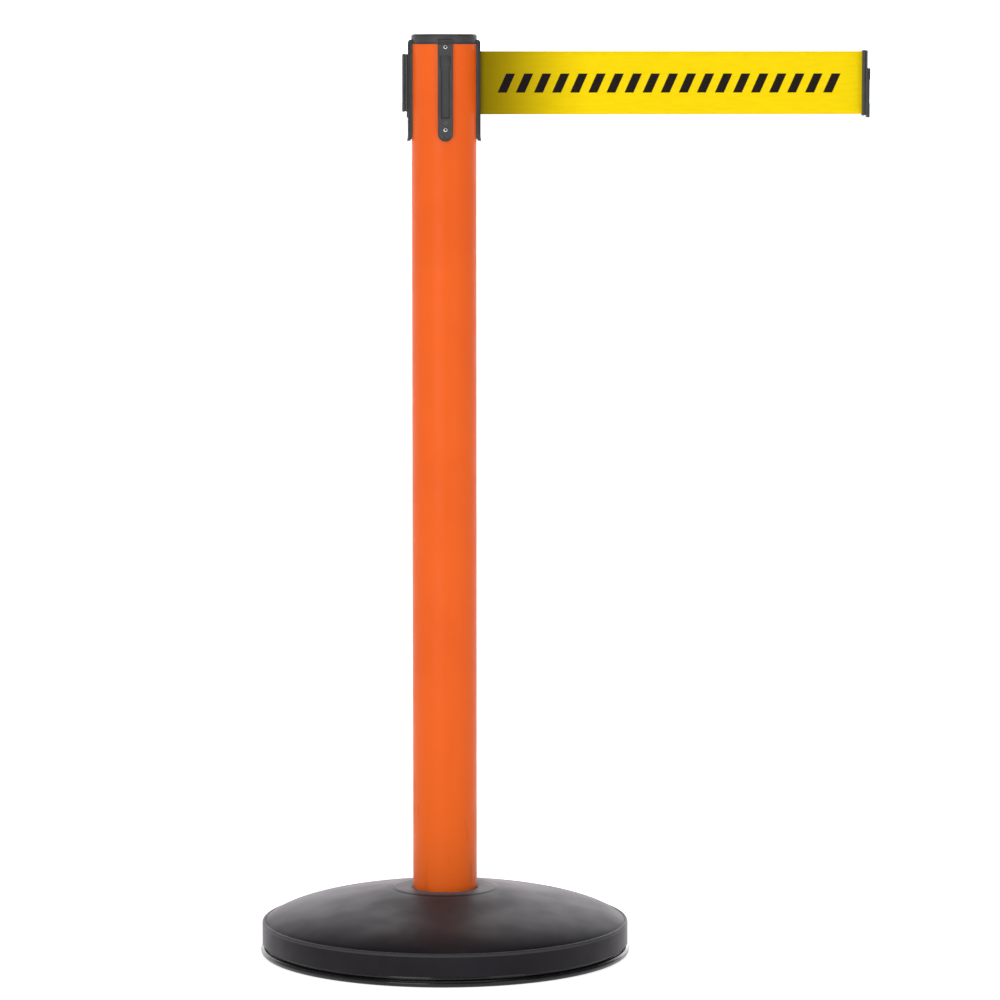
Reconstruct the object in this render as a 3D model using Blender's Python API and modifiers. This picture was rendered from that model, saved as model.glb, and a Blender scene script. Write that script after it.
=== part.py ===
"""Retractable belt barrier post, in metres.

+Z is up and the origin is on the floor under the post. The belt leaves towards +X, and one belt
receiver faces -Y, one +Y and one -X. A clip is docked in the receiver that faces -X.
"""

import math

import bmesh
import bpy
from mathutils import Matrix, Vector

GAP = 0.0003  # left between pieces that touch
HAIR = 0.00001  # merge distance of turned profiles

# Post tube
TUBE_RADIUS = 0.03175
TUBE_WALL = 0.0015
TUBE_LOW = 0.0543
TUBE_TOP = 0.900
TUBE_SIDES = 64

# Base
MAT_RADIUS = 0.1835
MAT_THICKNESS = 0.002
MAT_BEAD_TOP = 0.007
MAT_LIP_TOP = 0.012
WEIGHT_RADIUS = 0.1735
WEIGHT_HUB_TOP = TUBE_LOW - GAP
WEIGHT_RECESS_TOP = 0.017
COVER_RADIUS = 0.182
COVER_WALL = 0.0025
COVER_LOW = 0.010
COVER_RIM_TOP = 0.0325
COVER_HUB_RADIUS = 0.0512
COVER_HUB_TOP = 0.065
COVER_CROWN = 0.0035  # how far the cone bulges above a straight line
COVER_SHOULDER = 0.0095  # more bulge towards the rim
COVER_SIDES = 64
BOLT_RADIUS = 0.006
BOLT_HEAD_RADIUS = 0.0104
BOLT_HEAD_LOW = 0.0034
BOLT_HEAD_TOP = 0.0111
BOLT_TOP = 0.084
PLUG_TOP = 0.090

# Cap
CAP_TOP = 0.910
CAP_RADIUS = 0.03225
CAP_DISH_RADIUS = 0.0275
CAP_DISH_DEPTH = 0.001
CAP_UNDERSIDE = 0.903
CAP_SKIRT_LOW = 0.8948
CAP_SKIRT_OUTER = 0.0299
CAP_SKIRT_INNER = 0.0282

# Receiver strips, measured outwards from the post's axis
STRIP_FACE = 0.0355
STRIP_HALF_WIDTH = 0.00725
STRIP_LOW = 0.8055
STRIP_TOP = 0.9045
STRIP_SHOULDER = 0.0026
STRIP_TIP_LIFT = 0.0016
STRIP_TIP_HEIGHT = 0.010
CHANNEL_FLOOR = 0.0326
CHANNEL_LIP = 0.0343
CHANNEL_HALF_MOUTH = 0.0043
CHANNEL_HALF_WIDTH = 0.0054
CHANNEL_LOW = 0.828
CHANNEL_TOP = 0.889
WINDOW_LOW = 0.877

# Screws through the strips
SCREW_HEIGHTS = {"bottom": 0.817, "top": 0.8972}
SCREW_HEAD_RADIUS = 0.00225
SCREW_HEAD_OUT = 0.0354
SCREW_HEAD_SEAT = 0.0343
SCREW_RADIUS = 0.0015
SCREW_END = 0.0248
SCREW_SIDES = 12
SOCKET_RADIUS = 0.00115
SOCKET_DEPTH = 0.0007

# Belt cassette inside the tube
FRAME_RADIUS = 0.0295
FRAME_LOW = 0.804
FRAME_TOP = 0.8943
FRAME_FLOOR_TOP = 0.8075
FRAME_CHAMBER = 0.0248
SPRING_CHAMBER = 0.0235
SPRING_LEDGE = 0.8225
LID_RADIUS = 0.0279
LID_LOW = FRAME_TOP + GAP
LID_TOP = 0.8998
AXLE_RADIUS = 0.003
AXLE_CLEARANCE = 0.00008
AXLE_TOP = 0.9022
GROOVE_LOW = 0.9004
GROOVE_TOP = 0.9015
SPOOL_FLANGE = 0.022
SPOOL_CORE = 0.009
SPOOL_STEM = 0.006
SPRING_THICKNESS = 0.0004
SPRING_TURNS = 5
GUIDE_RADIUS = 0.0014
GUIDE_X = 0.0256
GUIDE_LOW = 0.8263
GUIDE_TOP = 0.8953

# Belt
BELT_LOW = 0.8315
BELT_TOP = 0.8932
BELT_THICKNESS = 0.0005
BELT_END = 0.411
COIL_RADIUS = 0.0198

# Belt clips, measured outwards from the strip face that they dock against
CLIP_HALF_WIDTH = 0.007
CLIP_BLOCK_HALF_WIDTH = 0.006
CLIP_BLOCK_DEPTH = 0.0024
CLIP_GROOVE_DEPTH = 0.0005
CLIP_FLANGE_DEPTH = 0.0024
CLIP_LOW = 0.834
CLIP_TOP = 0.891
HEAD_LOW = 0.8653
HEAD_TOP = 0.8766
NECK_LOW = 0.8283
CLIP_PIN_RADIUS = 0.0009

ALL_SIDES = {"right": 0.0, "back": math.pi / 2, "left": math.pi, "front": -math.pi / 2}


# ---- shared tools -------------------------------------------------------------------------


def remove_everything():
    for obj in list(bpy.data.objects):
        bpy.data.objects.remove(obj, do_unlink=True)


def new_collection(name):
    group = bpy.data.collections.new(name)
    bpy.context.scene.collection.children.link(group)
    return group


def new_finish(name, colour, roughness, metallic=0.0):
    finish = bpy.data.materials.new(name)
    finish.use_nodes = True
    shader = finish.node_tree.nodes["Principled BSDF"]
    shader.inputs["Base Color"].default_value = (*colour, 1.0)
    shader.inputs["Roughness"].default_value = roughness
    shader.inputs["Metallic"].default_value = metallic
    return finish


def place(name, mesh, finish):
    """An object of the model, with its own copy of the finish."""
    obj = bpy.data.objects.new(name, mesh)
    own = finish.copy()
    own.name = name
    mesh.materials.append(own)
    PARTS.objects.link(obj)
    return obj


def as_tool(obj):
    """Marks a body that only cuts or joins, and moves it to the cutters."""
    obj.hide_render = True
    obj.display_type = "WIRE"
    for group in list(obj.users_collection):
        group.objects.unlink(obj)
    CUTTERS.objects.link(obj)
    return obj


def combine(obj, tool, operation):
    step = obj.modifiers.new(f"{operation.title()} {tool.name}", "BOOLEAN")
    step.operation = operation
    step.solver = "EXACT"
    step.object = tool


def profile_mesh(name, profile, closed):
    mesh = bpy.data.meshes.new(name)
    edges = [(i, i + 1) for i in range(len(profile) - 1)]
    if closed:
        edges.append((len(profile) - 1, 0))
    mesh.from_pydata([(r, 0.0, z) for r, z in profile], edges, [])
    return mesh


def turn_about_z(obj, sides):
    step = obj.modifiers.new("Turn", "SCREW")
    step.steps = sides
    step.render_steps = sides
    step.use_merge_vertices = True
    step.merge_threshold = HAIR


def turned(name, profile, sides, finish, closed=True):
    """(radius, height) points turned about Z. They run down the outer side."""
    obj = place(name, profile_mesh(name, profile, closed), finish)
    turn_about_z(obj, sides)
    return obj


def ring(name, inner, outer, low, top, sides, finish):
    profile = [(inner, top), (outer, top), (outer, low), (inner, low)]
    return turned(name, profile, sides, finish)


def box_mesh(name, low, high):
    mesh = bpy.data.meshes.new(name)
    shape = bmesh.new()
    bmesh.ops.create_cube(shape, size=1.0)
    size = [b - a for a, b in zip(low, high)]
    middle = [(a + b) / 2 for a, b in zip(low, high)]
    bmesh.ops.scale(shape, vec=size, verts=shape.verts)
    bmesh.ops.translate(shape, vec=middle, verts=shape.verts)
    shape.to_mesh(mesh)
    shape.free()
    return mesh


def rod_mesh(name, radius, start, end, sides):
    """A round bar from start to end."""
    mesh = bpy.data.meshes.new(name)
    shape = bmesh.new()
    way = Vector(end) - Vector(start)
    bmesh.ops.create_cone(
        shape, cap_ends=True, segments=sides, radius1=radius, radius2=radius, depth=way.length
    )
    turn = Vector((0, 0, 1)).rotation_difference(way).to_matrix().to_4x4()
    middle = Matrix.Translation((Vector(start) + Vector(end)) / 2)
    bmesh.ops.transform(shape, matrix=middle @ turn, verts=shape.verts)
    shape.to_mesh(mesh)
    shape.free()
    return mesh


def tool(name, mesh, angle=0.0):
    obj = bpy.data.objects.new(name, mesh)
    obj.rotation_euler.z = angle
    bpy.context.scene.collection.objects.link(obj)
    return as_tool(obj)


def frozen(obj):
    """The mesh of an object with its modifiers applied, with loose caps welded."""
    seen = obj.evaluated_get(bpy.context.evaluated_depsgraph_get())
    mesh = bpy.data.meshes.new_from_object(seen)
    shape = bmesh.new()
    shape.from_mesh(mesh)
    bmesh.ops.remove_doubles(shape, verts=shape.verts, dist=HAIR)
    shape.to_mesh(mesh)
    shape.free()
    mesh.name = obj.name
    return mesh


def flat_plate(name, outline, near, far):
    """A mesh with an outline of (y, z) points, from x = near to x = far."""
    curve = bpy.data.curves.new(name, "CURVE")
    curve.dimensions = "2D"
    curve.fill_mode = "BOTH"
    curve.extrude = (far - near) / 2
    line = curve.splines.new("POLY")
    line.points.add(len(outline) - 1)
    for point, (y, z) in zip(line.points, outline):
        point.co = (y, z, 0.0, 1.0)
    line.use_cyclic_u = True
    obj = bpy.data.objects.new(name, curve)
    obj.matrix_world = Matrix(
        ((0, 0, 1, (near + far) / 2), (1, 0, 0, 0), (0, 1, 0, 0), (0, 0, 0, 1))
    )
    bpy.context.scene.collection.objects.link(obj)
    bpy.context.view_layer.update()
    mesh = frozen(obj)
    mesh.transform(obj.matrix_world)
    bpy.data.objects.remove(obj, do_unlink=True)
    return mesh


def ribbon(name, path, low, top, thickness, finish):
    """A strip that stands on edge along a path of (x, y) points."""
    mesh = bpy.data.meshes.new(name)
    points = [(x, y, low) for x, y in path] + [(x, y, top) for x, y in path]
    count = len(path)
    faces = [(i, i + 1, i + 1 + count, i + count) for i in range(count - 1)]
    mesh.from_pydata(points, [], faces)
    obj = place(name, mesh, finish)
    step = obj.modifiers.new("Thickness", "SOLIDIFY")
    step.thickness = thickness
    step.offset = 0.0
    return obj


def hang_on(empty_name, location, pieces):
    """Puts moving pieces on an empty that stands on their joint."""
    empty = bpy.data.objects.new(empty_name, None)
    empty.location = location
    PARTS.objects.link(empty)
    for piece in pieces:
        piece.parent = empty
        piece.matrix_parent_inverse = Matrix.Translation(location).inverted()


# ---- base ---------------------------------------------------------------------------------


def floor_mat(finish):
    """A rubber mat with a round bead that shows outside the cover and a lip round the weight."""
    bead_in = MAT_RADIUS - 0.0014
    lip_in = WEIGHT_RADIUS + 0.0005
    lip_out = COVER_RADIUS - 0.0041
    profile = [
        (0.0, MAT_THICKNESS),
        (lip_in, MAT_THICKNESS),
        (lip_in, MAT_LIP_TOP),
        (lip_out, MAT_LIP_TOP),
        (lip_out, MAT_BEAD_TOP),
        (bead_in, MAT_BEAD_TOP),
        (MAT_RADIUS, MAT_BEAD_TOP - 0.0016),
        (MAT_RADIUS, 0.0016),
        (bead_in, 0.0),
        (0.0, 0.0),
    ]
    return turned("floor_mat", profile, COVER_SIDES, finish, closed=False)


def base_weight(finish):
    bore = BOLT_RADIUS + 0.0006
    recess = 0.017
    low = MAT_THICKNESS + GAP
    profile = [
        (bore, WEIGHT_HUB_TOP),
        (0.036, WEIGHT_HUB_TOP),
        (0.040, 0.020),
        (0.060, 0.017),
        (WEIGHT_RADIUS, 0.012),
        (WEIGHT_RADIUS, low),
        (recess, low),
        (recess, WEIGHT_RECESS_TOP),
        (bore, WEIGHT_RECESS_TOP),
    ]
    return turned("base_weight", profile, 48, finish)


def cover_cone(steps, drop):
    """Points down the cover's cone, from its hub to its rim, lowered by drop."""
    rim = COVER_RADIUS - 0.003
    points = []
    for i in range(steps + 1):
        t = i / steps
        radius = COVER_HUB_RADIUS + (rim - COVER_HUB_RADIUS) * t
        straight = COVER_HUB_TOP + (COVER_RIM_TOP - COVER_HUB_TOP) * t
        bulge = 4 * t * (1 - t) * (COVER_CROWN + COVER_SHOULDER * t**3)
        points.append((radius, straight + bulge - drop))
    return points


def base_cover(finish):
    hole = TUBE_RADIUS + 2 * GAP
    inner = COVER_RADIUS - COVER_WALL
    profile = [(hole, COVER_HUB_TOP)]
    profile += cover_cone(6, 0.0)
    profile += [
        (COVER_RADIUS - 0.0009, COVER_RIM_TOP - 0.0011),
        (COVER_RADIUS, COVER_RIM_TOP - 0.0035),
        (COVER_RADIUS, COVER_LOW),
        (inner, COVER_LOW),
    ]
    profile += cover_cone(5, COVER_WALL)[::-1]
    profile += [(hole, COVER_HUB_TOP - COVER_WALL)]
    return turned("base_cover", profile, COVER_SIDES, finish)


def base_bolt(finish):
    head = rod_mesh("base_bolt", BOLT_HEAD_RADIUS, (0, 0, BOLT_HEAD_LOW), (0, 0, BOLT_HEAD_TOP), 6)
    bolt = place("base_bolt", head, finish)
    shank = rod_mesh("bolt_shank", BOLT_RADIUS, (0, 0, BOLT_HEAD_TOP - 0.002), (0, 0, BOLT_TOP), 20)
    combine(bolt, tool("bolt_shank", shank), "UNION")
    return bolt


def spring_washer(finish):
    low = BOLT_HEAD_TOP + GAP
    washer = ring("spring_washer", 0.0064, 0.0102, low, low + 0.0024, 24, finish)
    split = box_mesh("washer_split", (0.005, -0.0006, low - 0.001), (0.012, 0.0006, low + 0.004))
    combine(washer, tool("washer_split", split), "DIFFERENCE")
    return washer


def base_washer(finish):
    low = BOLT_HEAD_TOP + 2 * GAP + 0.0024
    return ring("base_washer", 0.0064, 0.0150, low, WEIGHT_RECESS_TOP - GAP, 24, finish)


def tube_foot_plug(finish):
    inner = TUBE_RADIUS - TUBE_WALL - GAP
    return ring("tube_foot_plug", BOLT_RADIUS + GAP, inner, TUBE_LOW + GAP, PLUG_TOP, 32, finish)


# ---- post ---------------------------------------------------------------------------------


def screw_holes():
    """One hole cutter for each screw, through everything that the screw passes."""
    cutters = {}
    for side, angle in ALL_SIDES.items():
        for level, z in SCREW_HEIGHTS.items():
            name = f"hole_{side}_{level}"
            mesh = rod_mesh(name, SCREW_RADIUS + GAP + 0.0001, (0.0242, 0, z), (0.037, 0, z), 10)
            cutters[side, level] = tool(name, mesh, angle)
    return cutters


def post_tube(finish, holes):
    tube = ring(
        "post_tube", TUBE_RADIUS - TUBE_WALL, TUBE_RADIUS, TUBE_LOW, TUBE_TOP, TUBE_SIDES, finish
    )
    slot = box_mesh("tube_slot", (0.025, -0.0032, BELT_LOW - 0.0008), (0.036, 0.0032, BELT_TOP + 0.0008))
    combine(tube, tool("tube_slot", slot), "DIFFERENCE")
    for hole in holes.values():
        combine(tube, hole, "DIFFERENCE")
    return tube


def top_cap(finish, holes):
    """A cap whose skirt goes between the tube and the cassette lid."""
    profile = [
        (0.0, CAP_TOP - CAP_DISH_DEPTH),
        (CAP_DISH_RADIUS, CAP_TOP - CAP_DISH_DEPTH),
        (CAP_DISH_RADIUS + 0.001, CAP_TOP),
        (CAP_RADIUS - 0.0014, CAP_TOP),
        (CAP_RADIUS, CAP_TOP - 0.0014),
        (CAP_RADIUS, TUBE_TOP + GAP),
        (CAP_SKIRT_OUTER, TUBE_TOP + GAP),
        (CAP_SKIRT_OUTER, CAP_SKIRT_LOW),
        (CAP_SKIRT_INNER, CAP_SKIRT_LOW),
        (CAP_SKIRT_INNER, CAP_UNDERSIDE),
        (0.0, CAP_UNDERSIDE),
    ]
    cap = turned("top_cap", profile, 48, finish, closed=False)
    for side in ALL_SIDES:
        combine(cap, holes[side, "top"], "DIFFERENCE")
    return cap


# ---- receiver strips ----------------------------------------------------------------------


def strip_outline():
    """Straight sides, a square top and a half-round foot, as (y, z) points."""
    centre = STRIP_LOW + STRIP_HALF_WIDTH
    steps = 10
    foot = [math.pi + math.pi * i / steps for i in range(steps + 1)]
    arc = [(STRIP_HALF_WIDTH * math.cos(a), centre + STRIP_HALF_WIDTH * math.sin(a)) for a in foot]
    return [*arc, (STRIP_HALF_WIDTH, STRIP_TOP), (-STRIP_HALF_WIDTH, STRIP_TOP)]


def tube_relief():
    """A cutter a little larger than the tube, wider again round the cap."""
    inner, outer = TUBE_RADIUS + GAP, CAP_RADIUS + GAP
    profile = [
        (0.0, STRIP_TOP + 0.002),
        (outer, STRIP_TOP + 0.002),
        (outer, TUBE_TOP - 0.0005),
        (inner, TUBE_TOP - 0.0005),
        (inner, STRIP_LOW + STRIP_TIP_HEIGHT),
        (inner + STRIP_TIP_LIFT * 1.3, STRIP_LOW - 0.003),
        (0.0, STRIP_LOW - 0.003),
    ]
    obj = tool("tube_relief", profile_mesh("tube_relief", profile, False))
    turn_about_z(obj, TUBE_SIDES)
    return obj


def shoulder_cutter(side, angle):
    """Takes the outer corner off the top of a strip."""
    reach = STRIP_SHOULDER
    corners = [
        (STRIP_FACE - reach, STRIP_TOP + 0.001),
        (STRIP_FACE - reach, STRIP_TOP),
        (STRIP_FACE - 0.3 * reach, STRIP_TOP - 0.3 * reach),
        (STRIP_FACE, STRIP_TOP - reach),
        (STRIP_FACE + 0.001, STRIP_TOP - reach),
        (STRIP_FACE + 0.001, STRIP_TOP + 0.001),
    ]
    mesh = flat_plate(f"shoulder_{side}", corners, -0.01, 0.01)
    mesh.transform(Matrix(((0, 1, 0, 0), (-1, 0, 0, 0), (0, 0, 1, 0), (0, 0, 0, 1))))
    return tool(f"shoulder_{side}", mesh, angle)


def plain_strip(name, side, finish, relief, holes):
    """A strip with its back fitted to the tube and seats for its two screws."""
    angle = ALL_SIDES[side]
    strip = place(name, flat_plate(name, strip_outline(), 0.030, STRIP_FACE), finish)
    strip.rotation_euler.z = angle
    combine(strip, relief, "DIFFERENCE")
    combine(strip, shoulder_cutter(side, angle), "DIFFERENCE")
    for level, z in SCREW_HEIGHTS.items():
        combine(strip, holes[side, level], "DIFFERENCE")
        seat = f"seat_{side}_{level}"
        mesh = rod_mesh(seat, SCREW_HEAD_RADIUS + GAP, (SCREW_HEAD_SEAT - GAP, 0, z), (0.038, 0, z), 16)
        combine(strip, tool(seat, mesh, angle), "DIFFERENCE")
    return strip


def receiver(side, finish, relief, holes):
    """A strip with an undercut channel, open full width at its top, where a clip's head goes in."""
    angle = ALL_SIDES[side]
    strip = plain_strip(f"receiver_{side}", side, finish, relief, holes)
    out = STRIP_FACE + 0.001
    cuts = {
        "mouth": (CHANNEL_FLOOR, out, CHANNEL_HALF_MOUTH, CHANNEL_LOW),
        "undercut": (CHANNEL_FLOOR, CHANNEL_LIP, CHANNEL_HALF_WIDTH, CHANNEL_LOW),
        "window": (CHANNEL_FLOOR, out, CHANNEL_HALF_WIDTH, WINDOW_LOW),
    }
    for cut, (near, far, half, low) in cuts.items():
        name = f"{cut}_{side}"
        mesh = box_mesh(name, (near, -half, low), (far, half, CHANNEL_TOP))
        combine(strip, tool(name, mesh, angle), "DIFFERENCE")
    return strip


def belt_mouth(finish, relief, holes):
    """The strip that the belt comes out of, with a slot a little larger than the belt."""
    strip = plain_strip("belt_mouth", "right", finish, relief, holes)
    half = 0.0012
    low = (0.030, -half, BELT_LOW - 0.0006)
    high = (STRIP_FACE + 0.001, half, BELT_TOP + 0.0006)
    combine(strip, tool("mouth_slot", box_mesh("mouth_slot", low, high)), "DIFFERENCE")
    return strip


def screw_mesh():
    """A button-head screw with a hexagon socket. Its axis is X and its point is inwards."""
    head = SCREW_HEAD_OUT - SCREW_HEAD_SEAT
    profile = [
        (0.0, head),
        (SCREW_HEAD_RADIUS * 0.72, head),
        (SCREW_HEAD_RADIUS, head * 0.5),
        (SCREW_HEAD_RADIUS, 0.0),
        (SCREW_RADIUS, 0.0),
        (SCREW_RADIUS, SCREW_END - SCREW_HEAD_SEAT),
        (0.0, SCREW_END - SCREW_HEAD_SEAT),
    ]
    shape = tool("screw_pattern", profile_mesh("screw_pattern", profile, False))
    turn_about_z(shape, SCREW_SIDES)
    socket = rod_mesh("socket", SOCKET_RADIUS, (0, 0, head - SOCKET_DEPTH), (0, 0, head + 0.001), 6)
    cutter = tool("socket", socket)
    combine(shape, cutter, "DIFFERENCE")
    bpy.context.view_layer.update()
    mesh = frozen(shape)
    for used in (shape, cutter):
        bpy.data.objects.remove(used, do_unlink=True)
    mesh.transform(Matrix.Translation((SCREW_HEAD_SEAT, 0, 0)) @ Matrix.Rotation(math.pi / 2, 4, "Y"))
    return mesh


def screws(finish):
    mesh = screw_mesh()
    for side, angle in ALL_SIDES.items():
        for level, z in SCREW_HEIGHTS.items():
            screw = place(f"screw_{side}_{level}", mesh.copy(), finish)
            screw.location.z = z
            screw.rotation_euler.z = angle


# ---- belt cassette ------------------------------------------------------------------------


def guide_spots():
    """Where the two guide pins stand, one on each side of the belt."""
    off = GUIDE_RADIUS + GAP + BELT_THICKNESS / 2
    return {"front": (GUIDE_X, -off), "back": (GUIDE_X, off)}


def guide_hole(side, spot, low, top, part):
    name = f"guide_hole_{part}_{side}"
    return tool(name, rod_mesh(name, GUIDE_RADIUS + GAP, (*spot, low), (*spot, top), 12))


def cassette_frame(finish, holes):
    """A cup that holds the spring in its foot and the spool above it, open at the belt's side."""
    bore = AXLE_RADIUS + GAP
    profile = [
        (FRAME_CHAMBER, FRAME_TOP),
        (FRAME_RADIUS, FRAME_TOP),
        (FRAME_RADIUS, FRAME_LOW),
        (bore, FRAME_LOW),
        (bore, FRAME_FLOOR_TOP),
        (SPRING_CHAMBER, FRAME_FLOOR_TOP),
        (SPRING_CHAMBER, SPRING_LEDGE),
        (FRAME_CHAMBER, SPRING_LEDGE),
    ]
    frame = turned("cassette_frame", profile, 40, finish)
    mouth = box_mesh("frame_mouth", (0.018, -0.0055, BELT_LOW - 0.001), (0.032, 0.0055, FRAME_TOP + 0.001))
    combine(frame, tool("frame_mouth", mouth), "DIFFERENCE")
    for side in ALL_SIDES:
        combine(frame, holes[side, "bottom"], "DIFFERENCE")
    for side, spot in guide_spots().items():
        hole = guide_hole(side, spot, GUIDE_LOW - GAP, BELT_LOW, "frame")
        combine(frame, hole, "DIFFERENCE")
    return frame


def cassette_lid(finish, holes):
    lid = ring("cassette_lid", AXLE_RADIUS + GAP, LID_RADIUS, LID_LOW, LID_TOP, 40, finish)
    for side in ALL_SIDES:
        combine(lid, holes[side, "top"], "DIFFERENCE")
    for side, spot in guide_spots().items():
        combine(lid, guide_hole(side, spot, FRAME_TOP - 0.001, GUIDE_TOP + GAP, "lid"), "DIFFERENCE")
    return lid


def guide_pins(finish):
    for side, spot in guide_spots().items():
        name = f"guide_pin_{side}"
        place(name, rod_mesh(name, GUIDE_RADIUS, (*spot, GUIDE_LOW), (*spot, GUIDE_TOP), 12), finish)


def spool_axle(finish):
    """A pin with a head under the frame and a groove for the circlip above the lid."""
    head = 0.0055
    groove = 0.0024
    profile = [
        (0.0, AXLE_TOP),
        (AXLE_RADIUS, AXLE_TOP),
        (AXLE_RADIUS, GROOVE_TOP),
        (groove, GROOVE_TOP),
        (groove, GROOVE_LOW),
        (AXLE_RADIUS, GROOVE_LOW),
        (AXLE_RADIUS, FRAME_LOW - GAP),
        (head, FRAME_LOW - GAP),
        (head, FRAME_LOW - 0.0025),
        (0.0, FRAME_LOW - 0.0025),
    ]
    return turned("spool_axle", profile, 24, finish, closed=False)


def axle_circlip(finish):
    clip = ring("axle_circlip", 0.0027, 0.0050, GROOVE_LOW + 0.0001, GROOVE_TOP - GAP, 20, finish)
    opening = box_mesh("circlip_gap", (-0.007, -0.0018, GROOVE_LOW - 0.001), (0.0, 0.0018, GROOVE_TOP + 0.001))
    combine(clip, tool("circlip_gap", opening), "DIFFERENCE")
    return clip


def spool(finish):
    """A reel with a thin flange at each end, on a stem that passes through the spring."""
    bore = AXLE_RADIUS + AXLE_CLEARANCE
    top = FRAME_TOP
    upper = BELT_TOP + 0.0004
    lower = BELT_LOW - 0.0004
    under = lower - 0.0023
    profile = [
        (bore, top),
        (SPOOL_FLANGE, top),
        (SPOOL_FLANGE, upper),
        (SPOOL_CORE, upper),
        (SPOOL_CORE, lower),
        (SPOOL_FLANGE, lower),
        (SPOOL_FLANGE, under),
        (SPOOL_STEM, under),
        (SPOOL_STEM, FRAME_FLOOR_TOP + 0.0007),
        (bore, FRAME_FLOOR_TOP + 0.0007),
    ]
    return turned("spool", profile, 24, finish)


def belt_coil(finish):
    """The belt that is still wound on the spool."""
    return ring("belt_coil", SPOOL_CORE + GAP, COIL_RADIUS, BELT_LOW, BELT_TOP, 32, finish)


def spring_path():
    """A flat spiral of (x, y) points, from beside the spool's stem out to the chamber's wall."""
    inner, outer = SPOOL_STEM + 0.0008, SPRING_CHAMBER - 0.0009
    steps = SPRING_TURNS * 16
    path = []
    for i in range(steps + 1):
        t = i / steps
        radius = inner + (outer - inner) * t
        angle = 2 * math.pi * SPRING_TURNS * t
        path.append((radius * math.cos(angle), radius * math.sin(angle)))
    return path


def power_spring(finish):
    low, top = FRAME_FLOOR_TOP + 0.0012, SPRING_LEDGE - 0.0012
    return ribbon("power_spring", spring_path(), low, top, SPRING_THICKNESS, finish)


def spring_cover(finish):
    low = SPRING_LEDGE + GAP
    return ring("spring_cover", SPOOL_STEM + 0.0005, FRAME_CHAMBER - GAP, low, low + 0.0015, 32, finish)


# ---- belt and its clips -------------------------------------------------------------------


def belt_path():
    """The belt's middle line: off the coil, round the front guide pin and straight out."""
    half = BELT_THICKNESS / 2
    around_coil = COIL_RADIUS + GAP + half
    around_pin = GUIDE_RADIUS + GAP + half
    pin = Vector(guide_spots()["front"])
    lean = math.asin((around_coil + around_pin) / pin.length)
    way = math.atan2(pin.y, pin.x) + lean
    start = (around_coil * math.sin(way), -around_coil * math.cos(way))
    steps = 4
    arc = [math.pi / 2 + way * (1 - i / steps) for i in range(steps + 1)]
    bend = [(pin.x + around_pin * math.cos(a), pin.y + around_pin * math.sin(a)) for a in arc]
    return [start, *bend, (BELT_END + CLIP_FLANGE_DEPTH - 0.0007, 0.0)]


def belt_webbing(finish):
    return ribbon("belt_webbing", belt_path(), BELT_LOW, BELT_TOP, BELT_THICKNESS, finish)


def clip(name, near, way, low, top, finish):
    """A clip whose head leaves its flange along way (+1 or -1 in X). near is the flange's far face.

    From that face come the flange, a groove, the block that meets a strip, the neck and the head.
    """
    flange_end = near + way * CLIP_FLANGE_DEPTH
    groove_end = flange_end + way * CLIP_GROOVE_DEPTH
    block_end = groove_end + way * CLIP_BLOCK_DEPTH
    head_start = block_end + way * (STRIP_FACE + GAP - CHANNEL_LIP + GAP)
    head_end = block_end + way * (STRIP_FACE + GAP - CHANNEL_FLOOR - GAP)
    neck = CHANNEL_HALF_MOUTH - GAP
    inset = 0.0005

    def slab(piece, x1, x2, half, bottom, height):
        x1, x2 = sorted((x1, x2))
        return box_mesh(piece, (x1, -half, bottom), (x2, half, height))

    body = place(name, slab(name, near, flange_end, CLIP_HALF_WIDTH, low, top), finish)
    pieces = {
        "web": (near + way * inset, block_end - way * inset, 0.0045, low + 0.001, top - 0.001),
        "block": (groove_end, block_end, CLIP_BLOCK_HALF_WIDTH, low + inset, top - inset),
        "neck": (block_end - way * inset, head_end - way * inset, neck, NECK_LOW, HEAD_TOP),
        "head": (head_start, head_end, CHANNEL_HALF_WIDTH - GAP, HEAD_LOW, HEAD_TOP),
    }
    for piece, sizes in pieces.items():
        tool_name = f"{name}_{piece}"
        combine(body, tool(tool_name, slab(tool_name, *sizes)), "UNION")
    middle = flange_end + way * CLIP_GROOVE_DEPTH / 2
    slot = slab(f"{name}_slot", near - way * 0.001, middle, 0.0010, low + 0.0011, top - 0.0011)
    combine(body, tool(f"{name}_slot", slot), "DIFFERENCE")
    ends = (middle, 0, low + 0.0006), (middle, 0, top + 0.001)
    hole = rod_mesh(f"{name}_pin_hole", CLIP_PIN_RADIUS + GAP, *ends, 12)
    combine(body, tool(f"{name}_pin_hole", hole), "DIFFERENCE")
    pin_ends = (middle, 0, low + 0.0009), (middle, 0, top - 0.0006)
    pin = place(f"{name}_pin", rod_mesh(f"{name}_pin", CLIP_PIN_RADIUS, *pin_ends, 12), STEEL)
    return [body, pin]


def docked_clip(finish):
    depth = CLIP_BLOCK_DEPTH + CLIP_GROOVE_DEPTH + CLIP_FLANGE_DEPTH
    return clip("docked_clip", -(STRIP_FACE + GAP + depth), 1, CLIP_LOW, CLIP_TOP, finish)


def belt_end_clip(finish):
    margin = 0.0015
    return clip("belt_end_clip", BELT_END, 1, BELT_LOW - margin, BELT_TOP + margin, finish)


# ---- assembly -----------------------------------------------------------------------------


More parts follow.
